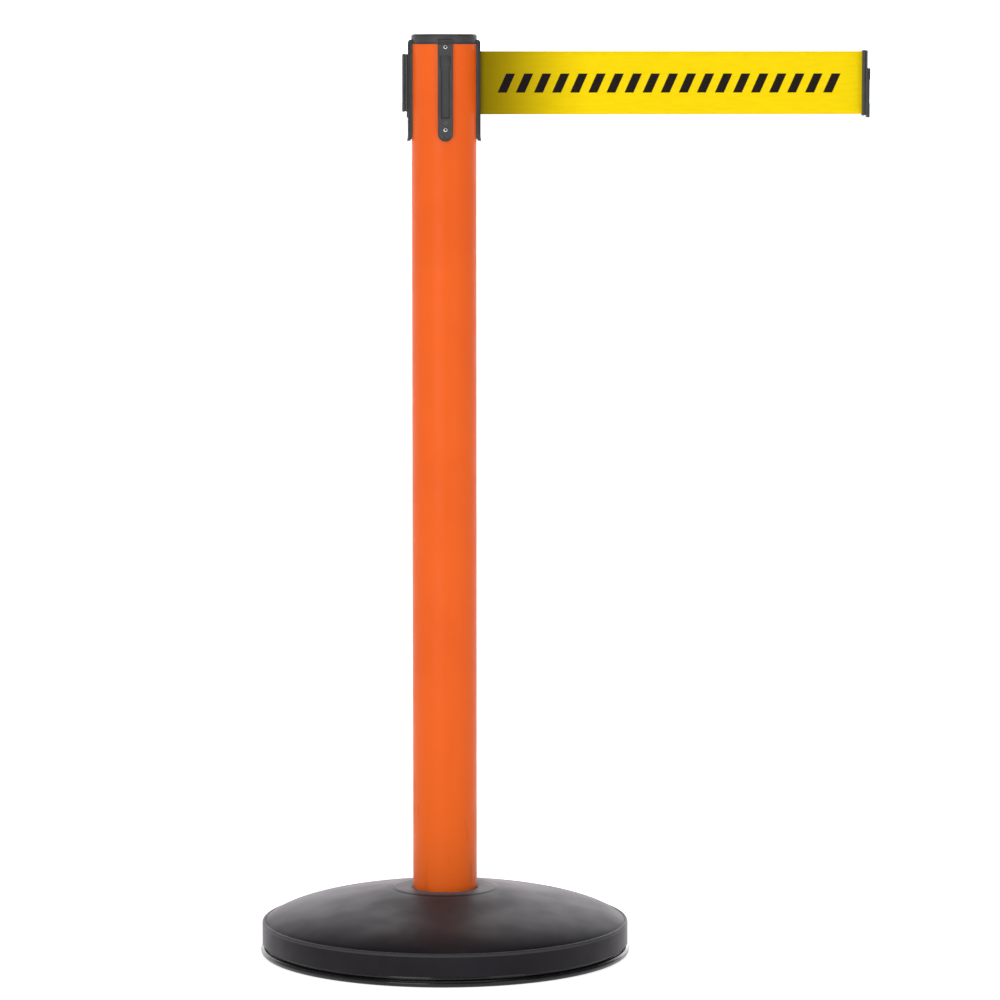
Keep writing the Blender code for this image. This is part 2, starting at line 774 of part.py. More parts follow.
def build():
    paint = new_finish("orange_paint", (0.87, 0.12, 0.02), 0.35)
    plastic = new_finish("black_plastic", (0.06, 0.06, 0.065), 0.5)
    cover = new_finish("cover_plastic", (0.03, 0.03, 0.035), 0.55)
    rubber = new_finish("rubber", (0.015, 0.015, 0.018), 0.45)
    iron = new_finish("cast_iron", (0.09, 0.09, 0.095), 0.7, 0.6)
    acetal = new_finish("acetal", (0.7, 0.7, 0.66), 0.45)
    webbing = new_finish("webbing", (0.98, 0.68, 0.01), 0.75)

    floor_mat(rubber)
    base_weight(iron)
    base_cover(cover)
    base_bolt(STEEL)
    spring_washer(STEEL)
    base_washer(STEEL)
    tube_foot_plug(STEEL)

    holes = screw_holes()
    relief = tube_relief()
    post_tube(paint, holes)
    top_cap(plastic, holes)
    for side in ("front", "back", "left"):
        receiver(side, plastic, relief, holes)
    belt_mouth(plastic, relief, holes)
    screws(STEEL)

    cassette_frame(plastic, holes)
    cassette_lid(plastic, holes)
    guide_pins(STEEL)
    spool_axle(STEEL)
    axle_circlip(STEEL)
    power_spring(STEEL)
    spring_cover(plastic)

    middle = (BELT_LOW + BELT_TOP) / 2
    hang_on("spool_axis", (0, 0, middle), [spool(acetal), belt_coil(webbing)])
    belt = [belt_webbing(webbing), *belt_end_clip(plastic)]
    hang_on("belt_pull_axis", (BELT_END, 0, middle), belt)
    hang_on("docked_clip_axis", (-STRIP_FACE, 0, HEAD_LOW), docked_clip(plastic))


remove_everything()
PARTS = new_collection("belt_barrier_post")
CUTTERS = new_collection("cutters")
STEEL = new_finish("zinc_steel", (0.62, 0.62, 0.60), 0.35, 1.0)
build()
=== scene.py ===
"""The looks of the retractable belt barrier post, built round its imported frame. Metres, +Z up."""

import math

import bmesh
import bpy
from mathutils import Matrix, Vector


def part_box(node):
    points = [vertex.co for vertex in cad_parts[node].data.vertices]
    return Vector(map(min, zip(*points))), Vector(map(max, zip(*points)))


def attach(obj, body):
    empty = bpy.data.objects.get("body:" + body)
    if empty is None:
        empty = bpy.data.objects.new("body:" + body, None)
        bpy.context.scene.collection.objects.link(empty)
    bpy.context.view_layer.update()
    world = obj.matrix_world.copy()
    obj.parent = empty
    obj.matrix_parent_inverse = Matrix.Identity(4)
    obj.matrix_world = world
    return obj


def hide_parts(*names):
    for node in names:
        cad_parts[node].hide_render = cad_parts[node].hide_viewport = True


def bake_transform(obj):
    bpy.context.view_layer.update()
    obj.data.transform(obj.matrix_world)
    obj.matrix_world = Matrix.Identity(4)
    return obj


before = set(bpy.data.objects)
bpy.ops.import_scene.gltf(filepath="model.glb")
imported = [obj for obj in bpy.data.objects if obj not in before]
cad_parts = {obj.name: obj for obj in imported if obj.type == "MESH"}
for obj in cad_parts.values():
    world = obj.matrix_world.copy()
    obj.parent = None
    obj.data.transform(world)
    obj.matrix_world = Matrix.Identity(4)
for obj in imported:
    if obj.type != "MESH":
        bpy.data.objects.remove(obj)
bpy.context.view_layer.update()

SIDES = {"right": 0.0, "back": 90.0, "left": 180.0, "front": -90.0}  # turns from +X about Z

# ---- camera -------------------------------------------------------------------------------


def make_camera():
    """A long lens at the height of the post's top, a little to the left of the post."""
    data = bpy.data.cameras.new("camera")
    data.sensor_width = 36.0
    data.lens = 164.9
    data.clip_end = 100.0
    camera = bpy.data.objects.new("camera", data)
    bpy.context.scene.collection.objects.link(camera)
    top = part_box("top_cap")[1][2]
    camera.location = (-0.171, -4.5, top - 0.004)
    camera.rotation_euler = (math.radians(90 - 5.76), 0.0, math.radians(-2.873))
    bpy.context.scene.camera = camera


make_camera()

# ---- places taken from the frame ----------------------------------------------------------


def low(node, axis):
    """The lowest coordinate of a CAD node along an axis."""
    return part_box(node)[0][axis]


def high(node, axis):
    """The highest coordinate of a CAD node along an axis."""
    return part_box(node)[1][axis]


TUBE_RADIUS = high("post_tube", 1)
TUBE_WALL = 0.0015
COVER_RADIUS = high("base_cover", 0)
MAT_RADIUS = high("floor_mat", 0)
CAP_RADIUS = high("top_cap", 0)
CAP_TOP = high("top_cap", 2)
STRIP_FACE = high("belt_mouth", 0)
STRIP_HALF_WIDTH = high("belt_mouth", 1)
STRIP_LOW = low("belt_mouth", 2)
STRIP_TOP = high("belt_mouth", 2)
BELT_LOW = low("belt_webbing", 2)
BELT_TOP = high("belt_webbing", 2)
BELT_THICKNESS = 0.0005
BELT_END = low("belt_end_clip", 0)
COIL_RADIUS = high("belt_coil", 0)
SCREW_HEIGHTS = {
    "bottom": (low("screw_right_bottom", 2) + high("screw_right_bottom", 2)) / 2,
    "top": (low("screw_right_top", 2) + high("screw_right_top", 2)) / 2,
}
GAP = 0.0003  # between pieces that pass each other without touching

# The base cover's cone, and the lip of the floor mat that stands inside its rim
COVER_TOP = high("base_cover", 2)
COVER_FOOT = low("base_cover", 2)
COVER_WALL = 0.0025
COVER_HUB_RADIUS = 0.0512
COVER_EDGE_HEIGHT = 0.0325
COVER_CROWN = 0.0035
COVER_SHOULDER = 0.0095
MAT_THICKNESS = 0.002
MAT_LIP_TOP = 0.012
MAT_LIP_INNER = 0.1740
MAT_LIP_OUTER = 0.1779
MAT_BEAD = 0.0035

# The head. Depths are measured outwards from the post's axis, heights from the floor
CAP_FOOT = 0.90005
CAP_SKIRT_FOOT = 0.8948
CAP_SKIRT_OUTER = 0.0299
CAP_SKIRT_INNER = 0.0282
STRIP_BACK = 0.0300
STRIP_BEND = STRIP_LOW + 0.006
BEYOND_STRIP = 0.037
HOLE_RADIUS = 0.0019
SEAT_RADIUS = 0.00255
SEAT_DEPTH = 0.0340
SCREW_SEAT = 0.0343
SCREW_FACE = 0.0354
MOUTH_HALF_WIDTH = 0.0012
MOUTH_LOW = BELT_LOW - 0.0006
MOUTH_TOP = BELT_TOP + 0.0006

# The channel of a receiver strip, and its wider window at the top
CHANNEL_FLOOR = 0.0326
CHANNEL_LIP = 0.0343
CHANNEL_HALF_MOUTH = 0.0043
CHANNEL_HALF_WIDTH = 0.0054
CHANNEL_LOW = 0.828
CHANNEL_TOP = 0.889
WINDOW_LOW = 0.877

# The row of slanted bars that is printed on the belt
BAR_PITCH = 0.0178
BAR_START = 0.0560
BAR_SLANT = 0.45
BAND_LOW = 0.8529
BAND_TOP = 0.8711
BAND_MIDDLE = 0.8618
GROUP_START = 0.0373
GROUP_LENGTH = 0.3738

# The wound belt and the clips
COIL_CORE = 0.0093
COIL_PITCH = 0.00048
COIL_HALF_THICKNESS = 0.00023
CLIP_SLOT_DEPTH = 0.00265
CLIP_NECK_LOW = 0.8283
CLIP_HEAD_LOW = 0.8653
CLIP_HEAD_TOP = 0.8766

# Matrices that turn what is drawn flat. A row says where a new axis comes from
STANDING = Matrix(((0, 0, 1, 0), (1, 0, 0, 0), (0, 1, 0, 0), (0, 0, 0, 1)))
UPRIGHT = Matrix(((1, 0, 0, 0), (0, 0, -1, 0), (0, 1, 0, 0), (0, 0, 0, 1)))
MIRRORED = Matrix(((1, 0, 0, 0), (0, 0, 1, 0), (0, 1, 0, 0), (0, 0, 0, 1)))

# ---- mesh tools ---------------------------------------------------------------------------


def arc(centre, radius, start, end, steps):
    """2D points on an arc, from start to end degrees."""
    angles = [math.radians(start + (end - start) * i / steps) for i in range(steps + 1)]
    return [(centre[0] + radius * math.cos(a), centre[1] + radius * math.sin(a)) for a in angles]


def link(name, mesh):
    """A new object with this mesh, in the scene."""
    obj = bpy.data.objects.new(name, mesh)
    bpy.context.scene.collection.objects.link(obj)
    return obj


def mesh_of(shape, name):
    """The finished mesh of a shape, its normals outwards."""
    mesh = bpy.data.meshes.new(name)
    bmesh.ops.recalc_face_normals(shape, faces=shape.faces)
    shape.to_mesh(mesh)
    shape.free()
    return mesh


def lathe(name, profile, sides=192, closed=True):
    """Turns (radius, height) points about Z. An open profile starts and ends on the axis."""
    shape = bmesh.new()
    rings = []
    for radius, z in profile:
        if radius < 1e-9:
            rings.append([shape.verts.new((0.0, 0.0, z))])
            continue
        ring = []
        for i in range(sides):
            a = 2 * math.pi * i / sides
            ring.append(shape.verts.new((radius * math.cos(a), radius * math.sin(a), z)))
        rings.append(ring)
    pairs = list(zip(rings, rings[1:]))
    if closed:
        pairs.append((rings[-1], rings[0]))
    for one, two in pairs:
        join_rings(shape, one, two)
    return link(name, mesh_of(shape, name))


def join_rings(shape, one, two):
    """Faces between two rings of equally many points. Either may be one point on the axis."""
    count = max(len(one), len(two))
    for i in range(count):
        j = (i + 1) % count
        if len(one) == 1:
            shape.faces.new((one[0], two[j], two[i]))
        elif len(two) == 1:
            shape.faces.new((one[i], one[j], two[0]))
        else:
            shape.faces.new((one[i], one[j], two[j], two[i]))


def inset(outline, amount):
    """The outline moved inwards by amount, corner by corner. It runs anticlockwise."""
    moved = []
    count = len(outline)
    for i in range(count):
        before, here, after = (Vector(outline[k % count]) for k in (i - 1, i, i + 1))
        first = (here - before).normalized()
        second = (after - here).normalized()
        normal_a = Vector((-first.y, first.x))
        normal_b = Vector((-second.y, second.x))
        middle = (normal_a + normal_b).normalized()
        reach = amount / max(0.3, middle.dot(normal_a))
        moved.append((here.x + middle.x * reach, here.y + middle.y * reach))
    return moved


def through_rings(name, rings_of_points):
    """A mesh through rings of 3D points, closed at both ends."""
    shape = bmesh.new()
    rings = [[shape.verts.new(point) for point in ring] for ring in rings_of_points]
    for one, two in zip(rings, rings[1:]):
        join_rings(shape, one, two)
    shape.faces.new(rings[0])
    shape.faces.new(rings[-1])
    return link(name, mesh_of(shape, name))


def rim_levels(end, soft, way, steps=4):
    """(place, inset) pairs of a rounded rim, from its end along way to the full outline."""
    if not soft:
        return [(end, 0.0)]
    levels = []
    for i in range(steps):
        a = math.pi / 2 * i / steps
        levels.append((end + way * soft * (1 - math.cos(a)), soft * (1 - math.sin(a))))
    return [*levels, (end + way * soft, 0.0)]


def plate(name, outline, near, far, soft_near=0.0, soft_far=0.0, steps=4):
    """A slab with a 2D outline, from near to far along Z, with rounded rims of these radii."""
    levels = rim_levels(near, soft_near, 1, steps)
    levels += reversed(rim_levels(far, soft_far, -1, steps))
    rings = []
    for z, amount in levels:
        points = inset(outline, amount) if amount else outline
        rings.append([(x, y, z) for x, y in points])
    return through_rings(name, rings)


def soft_box(name, corner_a, corner_b, soft=0.0):
    """A box, with all its edges rounded where soft is given."""
    shape = bmesh.new()
    bmesh.ops.create_cube(shape, size=1.0)
    size = [b - a for a, b in zip(corner_a, corner_b)]
    middle = [(a + b) / 2 for a, b in zip(corner_a, corner_b)]
    bmesh.ops.scale(shape, vec=size, verts=shape.verts)
    bmesh.ops.translate(shape, vec=middle, verts=shape.verts)
    if soft:
        edges = shape.edges[:]
        bmesh.ops.bevel(shape, geom=edges, offset=soft, segments=3, profile=0.5, affect="EDGES")
    return link(name, mesh_of(shape, name))


def rod(name, radius, start, end, sides=32, soft=0.0):
    """A round bar from start to end, with its ends rounded where soft is given."""
    way = Vector(end) - Vector(start)
    length = way.length
    profile = [(0.0, 0.0)]
    if soft:
        profile += arc((radius - soft, soft), soft, -90, 0, 4)
        profile += arc((radius - soft, length - soft), soft, 0, 90, 4)
    else:
        profile += [(radius, 0.0), (radius, length)]
    profile += [(0.0, length)]
    obj = lathe(name, profile, sides, closed=False)
    aim = Vector((0, 0, 1)).rotation_difference(way).to_matrix().to_4x4()
    obj.data.transform(Matrix.Translation(start) @ aim)
    return obj


def combine(obj, tools, operation):
    """Cuts tools from obj, or joins them to it, and then removes the tools."""
    for tool in tools:
        step = obj.modifiers.new(tool.name, "BOOLEAN")
        step.operation = operation
        step.solver = "EXACT"
        step.object = tool
    seen = obj.evaluated_get(bpy.context.evaluated_depsgraph_get())
    mesh = bpy.data.meshes.new_from_object(seen)
    obj.modifiers.clear()
    obj.data = mesh
    for tool in tools:
        bpy.data.objects.remove(tool, do_unlink=True)
    tidy_mesh(obj)
    return obj


def tidy_mesh(obj):
    """Welds the doubled points and flat slivers that a cut can leave."""
    shape = bmesh.new()
    shape.from_mesh(obj.data)
    bmesh.ops.remove_doubles(shape, verts=shape.verts, dist=2e-6)
    bmesh.ops.dissolve_degenerate(shape, dist=1e-6, edges=shape.edges)
    shape.to_mesh(obj.data)
    shape.free()


def turn(obj, side):
    """Turns a piece made on the +X side to another side of the post."""
    obj.data.transform(Matrix.Rotation(math.radians(SIDES[side]), 4, "Z"))


def finish_mesh(obj, angle=35.0, weighted=False):
    """Smooth shading, with edges above this angle sharp. Weighted normals keep faces flat."""
    for polygon in obj.data.polygons:
        polygon.use_smooth = True
    obj.data.set_sharp_from_angle(angle=math.radians(angle))
    if weighted:
        step = obj.modifiers.new("normals", "WEIGHTED_NORMAL")
        step.keep_sharp = True
        step.weight = 80


def dress(obj, material, body, node):
    """Gives a piece its material and its body, and hides the CAD node that it stands for."""
    obj.data.materials.clear()
    obj.data.materials.append(material)
    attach(obj, body)
    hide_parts(node)


# ---- materials ----------------------------------------------------------------------------


class Graph:
    """A node tree under construction. A value is a socket or a plain number or colour."""

    def __init__(self, tree):
        self.tree = tree

    def node(self, kind, **settings):
        made = self.tree.nodes.new(kind)
        for name, value in settings.items():
            setattr(made, name, value)
        return made

    def put(self, socket, value):
        """Links a socket's output, or sets a plain value."""
        if hasattr(value, "is_linked"):
            self.tree.links.new(value, socket)
        else:
            socket.default_value = value

    def math(self, operation, one, two=0.0):
        made = self.node("ShaderNodeMath", operation=operation)
        self.put(made.inputs[0], one)
        self.put(made.inputs[1], two)
        return made.outputs[0]

    def times(self, first, *others):
        """The product of two or more values."""
        for other in others:
            first = self.math("MULTIPLY", first, other)
        return first

    def split(self, vector):
        made = self.node("ShaderNodeSeparateXYZ")
        self.put(made.inputs[0], vector)
        return made.outputs

    def span(self, value, start, end, low_value=0.0, high_value=1.0):
        """Maps start..end smoothly to low_value..high_value, and holds it beyond them."""
        made = self.node("ShaderNodeMapRange")
        made.interpolation_type = "SMOOTHSTEP"
        self.put(made.inputs["Value"], value)
        made.inputs["From Min"].default_value = start
        made.inputs["From Max"].default_value = end
        made.inputs["To Min"].default_value = low_value
        made.inputs["To Max"].default_value = high_value
        return made.outputs["Result"]


class Skin(Graph):
    """A material under construction, in the object's own coordinates."""

    def __init__(self, name, metallic=0.0):
        self.material = bpy.data.materials.new(name)
        self.material.use_nodes = True
        super().__init__(self.material.node_tree)
        self.shader = self.tree.nodes["Principled BSDF"]
        self.shader.inputs["Metallic"].default_value = metallic
        self.place = self.node("ShaderNodeTexCoord").outputs["Object"]
        self.normal = None

    def depth(self):
        """How far out a place is, along the nearest of the post's four sides."""
        x, y, _ = self.split(self.place)
        return self.math("MAXIMUM", self.math("ABSOLUTE", x), self.math("ABSOLUTE", y))

    def stretched(self, x, y, z):
        made = self.node("ShaderNodeVectorMath", operation="MULTIPLY")
        self.put(made.inputs[0], self.place)
        self.put(made.inputs[1], (x, y, z))
        return made.outputs[0]

    def noise(self, scale, detail=2.0, place=None):
        made = self.node("ShaderNodeTexNoise")
        self.put(made.inputs["Vector"], place or self.place)
        made.inputs["Scale"].default_value = scale
        made.inputs["Detail"].default_value = detail
        return made.outputs[0]

    def cloud(self, scale, detail, start, end, low_value=0.0, high_value=1.0):
        """Noise between start and end, spread out over low_value..high_value."""
        return self.span(self.noise(scale, detail), start, end, low_value, high_value)

    def mix(self, share, one, two):
        made = self.node("ShaderNodeMix", data_type="RGBA")
        self.put(made.inputs[0], share)
        for socket, colour in ((made.inputs[6], one), (made.inputs[7], two)):
            self.put(socket, (*colour, 1.0) if isinstance(colour, tuple) else colour)
        return made.outputs[2]

    def worn_edge(self, radius):
        """1 on edges sharper than radius, 0 on flat surfaces."""
        bevel = self.node("ShaderNodeBevel", samples=4)
        bevel.inputs["Radius"].default_value = radius
        plain = self.node("ShaderNodeNewGeometry").outputs["Normal"]
        dot = self.node("ShaderNodeVectorMath", operation="DOT_PRODUCT")
        self.put(dot.inputs[0], bevel.outputs[0])
        self.put(dot.inputs[1], plain)
        return self.span(self.math("SUBTRACT", 1.0, dot.outputs["Value"]), 0.02, 0.2)

    def bump(self, height, distance, strength):
        """Adds relief to the surface, on top of the relief that it has."""
        made = self.node("ShaderNodeBump")
        made.inputs["Distance"].default_value = distance
        made.inputs["Strength"].default_value = strength
        self.put(made.inputs["Height"], height)
        if self.normal is not None:
            self.put(made.inputs["Normal"], self.normal)
        self.normal = made.outputs["Normal"]

    def done(self, colour, roughness, **fixed):
        """The finished material. What is fixed names the shader's inputs with underscores."""
        self.put(self.shader.inputs["Base Color"], colour)
        self.put(self.shader.inputs["Roughness"], roughness)
        self.put(self.shader.inputs["Normal"], self.normal)
        for name, value in fixed.items():
            self.shader.inputs[name.replace("_", " ")].default_value = value
        return self.material


def orange_paint():
    """Powder coat: a fine orange peel, faint cloudiness, and scuffs and painted light near the foot.
    """
    skin = Skin("orange_paint")
    cloud = skin.cloud(9.0, 3.0, 0.35, 0.65)
    colour = skin.mix(cloud, (0.83, 0.112, 0.007), (0.88, 0.125, 0.009))
    # Painted light: the paint brightens towards the foot. The same zone holds the scuffs.
    lit_foot_and_scuffs = skin.span(skin.split(skin.place)[2], 0.30, 0.07)
    colour = skin.mix(lit_foot_and_scuffs, colour, (1.0, 0.150, 0.006))
    scratch = skin.span(skin.noise(70.0, 6.0, skin.stretched(1.0, 1.0, 0.25)), 0.60, 0.74)
    scuff = skin.times(lit_foot_and_scuffs, scratch)
    colour = skin.mix(skin.times(scuff, 0.35), colour, (0.52, 0.10, 0.03))
    colour = skin.mix(skin.worn_edge(0.0006), colour, (0.86, 0.22, 0.07))
    rough = skin.cloud(45.0, 2.0, 0.3, 0.7, 0.34, 0.44)
    rough = skin.math("ADD", rough, skin.times(scuff, 0.2))
    skin.bump(skin.noise(620.0, 1.0), 0.00006, 0.35)
    return skin.done(colour, rough, Specular_IOR_Level=0.16)


def moulded(name, colours, worn, rough_range, grain, shaded_recesses=False):
    """Moulded black plastic with a fine grain, soft flow marks and paler worn edges."""
    skin = Skin(name)
    colour = skin.mix(skin.cloud(38.0, 4.0, 0.3, 0.7), *colours)
    # With shaded recesses, the plastic gets painted shade on its walls and round the cap's foot.
    if shaded_recesses:
        colour = painted_shade_and_marks(skin, colour)
    wear = skin.times(skin.worn_edge(0.0007), skin.cloud(160.0, 3.0, 0.35, 0.7, 0.15, 0.9))
    colour = skin.mix(wear, colour, worn)
    rough = skin.cloud(90.0, 3.0, 0.3, 0.7, *rough_range)
    skin.bump(skin.noise(grain, 2.0), 0.00005, 0.45)
    return skin.done(colour, rough)


def painted_shade_and_marks(skin, colour):
    """Painted shade on the strips' walls and in a band at the cap's foot, scuffed strip feet, paler
    raised marks.
    """
    depth = skin.depth()
    height = skin.split(skin.place)[2]
    # Painted shade on the side walls and channel walls, below the cap.
    wall_shade = skin.times(skin.span(depth, 0.0328, 0.0331), skin.span(depth, 0.03545, 0.03520))
    below_cap = skin.span(height, 0.9002, 0.8992)
    colour = skin.mix(skin.times(wall_shade, below_cap, 0.9), colour, (0.010, 0.008, 0.010))
    # Painted shade: a dark band round the foot of the cap.
    cap_foot_shade = skin.times(skin.span(height, 0.9024, 0.9014), skin.span(height, 0.8990, 0.9002))
    colour = skin.mix(skin.times(cap_foot_shade, 0.85), colour, (0.010, 0.009, 0.010))
    scuff = skin.times(skin.span(height, 0.8150, 0.8080), skin.cloud(420.0, 3.0, 0.40, 0.65))
    colour = skin.mix(skin.times(scuff, 0.4), colour, (0.085, 0.090, 0.095))
    raised = skin.times(skin.span(depth, 0.03556, 0.03568), skin.span(height, 0.820, 0.821))
    return skin.mix(skin.times(raised, 0.7), colour, (0.150, 0.155, 0.160))


def cover_plastic():
    """The base cover: grained, dusty in places, scuffed where feet and trolleys touch it, with painted
    shade and highlight.
    """
    skin = Skin("cover_plastic")
    x, y, z = skin.split(skin.place)
    radius = skin.math("SQRT", skin.math("ADD", skin.times(x, x), skin.times(y, y)))
    cloud = skin.cloud(11.0, 4.0, 0.3, 0.7)
    colour = skin.mix(cloud, (0.007, 0.0052, 0.008), (0.011, 0.009, 0.0125))
    dust = skin.times(skin.cloud(26.0, 6.0, 0.52, 0.78), 0.35)
    colour = skin.mix(dust, colour, (0.024, 0.023, 0.025))
    # Painted shade: a dark ring on the hub round the tube's foot.
    shade_round_tube = skin.span(radius, TUBE_RADIUS + 0.0028, TUBE_RADIUS + 0.0018)
    colour = skin.mix(skin.times(shade_round_tube, 0.8), colour, (0.002, 0.002, 0.002))
    # Painted highlight: a paler band along the rim's rounded edge. The same band holds the real
    # scuffs.
    edge = skin.times(skin.span(radius, 0.1785, 0.1808), skin.span(z, 0.0290, 0.0304))
    colour = skin.mix(skin.times(edge, 0.8), colour, (0.058, 0.056, 0.060))
    scuff = skin.times(edge, skin.cloud(55.0, 5.0, 0.45, 0.7))
    colour = skin.mix(skin.times(scuff, 0.2), colour, (0.050, 0.048, 0.050))
    rough = skin.cloud(30.0, 4.0, 0.3, 0.7, 0.50, 0.60)
    skin.bump(skin.noise(900.0, 2.0), 0.00006, 0.3)
    skin.bump(skin.noise(20.0, 2.0), 0.0004, 0.2)
    haze = {"Sheen_Weight": 0.40, "Sheen_Roughness": 0.30, "Sheen_Tint": (0.95, 0.90, 1.0, 1.0)}
    return skin.done(colour, rough, Specular_IOR_Level=0.17, **haze)


def rubber():
    """Glossy moulded rubber with a faint ripple along its bead."""
    skin = Skin("rubber")
    cloud = skin.cloud(60.0, 4.0, 0.3, 0.7)
    colour = skin.mix(cloud, (0.006, 0.005, 0.007), (0.010, 0.009, 0.011))
    grit = skin.cloud(240.0, 4.0, 0.58, 0.74, 0.0, 0.5)
    colour = skin.mix(grit, colour, (0.020, 0.019, 0.020))
    rough = skin.cloud(80.0, 3.0, 0.3, 0.7, 0.22, 0.34)
    skin.bump(skin.noise(120.0, 3.0), 0.0002, 0.35)
    return skin.done(colour, rough, Specular_IOR_Level=0.12, Coat_Weight=0.4, Coat_Roughness=0.10)


def steel(name, grey, rough_range, scale, shaded_below=None):
    """Plated steel with fine grinding marks and darker stains, and painted shade below a depth."""
    skin = Skin(name, metallic=1.0)
    stain = skin.cloud(scale * 0.35, 4.0, 0.35, 0.75)
    colour = skin.mix(stain, grey, tuple(part * 0.72 for part in grey))
    if shaded_below:
        # Painted shade where a screw head sits down in its seat.
        seat_shade = skin.span(skin.depth(), shaded_below + 0.0001, shaded_below)
        colour = skin.mix(seat_shade, colour, (0.02, 0.02, 0.02))
    rough = skin.cloud(scale, 3.0, 0.3, 0.7, *rough_range)
    skin.bump(skin.noise(scale * 4.0, 2.0), 0.00002, 0.4)
    return skin.done(colour, rough)


def cast_iron():
    """Rough black-painted casting with sandy pits and a little rust."""
    skin = Skin("cast_iron", metallic=0.3)
    colour = skin.mix(skin.cloud(24.0, 5.0, 0.35, 0.7), (0.05, 0.05, 0.052), (0.085, 0.08, 0.078))
    rust = skin.cloud(60.0, 6.0, 0.62, 0.75, 0.0, 0.7)
    colour = skin.mix(rust, colour, (0.16, 0.065, 0.03))
    rough = skin.cloud(140.0, 3.0, 0.3, 0.7, 0.6, 0.85)
    skin.bump(skin.noise(420.0, 4.0), 0.0004, 0.7)
    return skin.done(colour, rough)


def acetal():
    """Off-white slippery plastic with faint turning marks and grey wear on its edges."""
    skin = Skin("acetal")
    colour = skin.mix(skin.cloud(70.0, 3.0, 0.3, 0.7), (0.62, 0.61, 0.56), (0.70, 0.69, 0.65))
    colour = skin.mix(skin.worn_edge(0.0006), colour, (0.40, 0.39, 0.36))
    rough = skin.cloud(120.0, 2.0, 0.3, 0.7, 0.30, 0.42)
    skin.bump(skin.noise(700.0, 2.0), 0.00004, 0.3)
    return skin.done(colour, rough)


def repeats(skin, value, start, length):
    """Where a value stands within its repeat, from 0 to 1."""
    return skin.math("FRACT", skin.math("DIVIDE", skin.math("SUBTRACT", value, start), length))


def printed_bars(skin, x, z):
    """1 inside the slanted printed bars, which stand in a row with a small break in each group."""
    slope = skin.times(skin.math("SUBTRACT", z, BAND_MIDDLE), BAR_SLANT)
    slanted = skin.math("SUBTRACT", x, slope)
    along = repeats(skin, slanted, BAR_START, BAR_PITCH)
    bar = skin.times(skin.span(along, 0.015, 0.045), skin.span(along, 0.545, 0.515))
    above = skin.span(z, BAND_LOW - 0.0005, BAND_LOW)
    below = skin.span(z, BAND_TOP + 0.0005, BAND_TOP)
    group = repeats(skin, slanted, GROUP_START, GROUP_LENGTH)
    inside = skin.times(skin.span(group, 0.048, 0.050), skin.span(group, 0.951, 0.949))
    return skin.times(bar, skin.times(above, below), inside)


def webbing():
    """Woven yellow polyester: yarns across and along, firm edges, a printed row of bars, and painted
    shade.
    """
    skin = Skin("webbing")
    x, _, z = skin.split(skin.place)
    wefts = skin.math("SINE", skin.times(x, 2 * math.pi / 0.0011))
    warps = skin.math("SINE", skin.times(z, 2 * math.pi / 0.0009))
    weave = skin.times(wefts, warps)
    yarn = skin.span(skin.noise(300.0, 3.0, skin.stretched(0.15, 1.0, 1.0)), 0.3, 0.7)
    colour = skin.mix(yarn, (0.95, 0.690, 0.003), (0.99, 0.725, 0.004))
    # Painted shade: the weave's low places are darker.
    shade_in_valleys = skin.span(weave, -0.2, -1.0, 0.0, 0.16)
    colour = skin.mix(shade_in_valleys, colour, (0.52, 0.33, 0.002))
    low_edge = skin.span(z, BELT_LOW + 0.0016, BELT_LOW + 0.0010)
    high_edge = skin.span(z, BELT_TOP - 0.0016, BELT_TOP - 0.0010)
    edge = skin.math("MAXIMUM", low_edge, high_edge)
    colour = skin.mix(skin.times(edge, 0.25), colour, (0.70, 0.46, 0.004))
    # Painted shade: the belt darkens towards the mouth, as if in the head's shadow.
    shade_by_mouth = skin.span(x, 0.150, 0.030, 0.0, 0.92)
    colour = skin.mix(skin.times(shade_by_mouth, 0.90), colour, (0.105, 0.078, 0.001))
    ink = skin.times(printed_bars(skin, x, z), skin.span(weave, -1.0, -0.4, 0.90, 1.0))
    colour = skin.mix(ink, colour, (0.008, 0.006, 0.010))
    rough = skin.cloud(160.0, 2.0, 0.3, 0.7, 0.62, 0.76)
    skin.bump(weave, 0.00012, 0.55)
    skin.bump(skin.noise(900.0, 2.0), 0.00003, 0.5)
    return skin.done(colour, rough, Specular_IOR_Level=0.04)


# ---- base ---------------------------------------------------------------------------------


def cone_points(steps, drop):
    """Points down the cover's cone, from its hub to its rim, as in the CAD."""
    rim = COVER_RADIUS - 0.003
    points = []
    for i in range(steps + 1):
        t = i / steps
        straight = COVER_TOP + (COVER_EDGE_HEIGHT - COVER_TOP) * t
        bulge = 4 * t * (1 - t) * (COVER_CROWN + COVER_SHOULDER * t**3)
        points.append((COVER_HUB_RADIUS + (rim - COVER_HUB_RADIUS) * t, straight + bulge - drop))
    return points


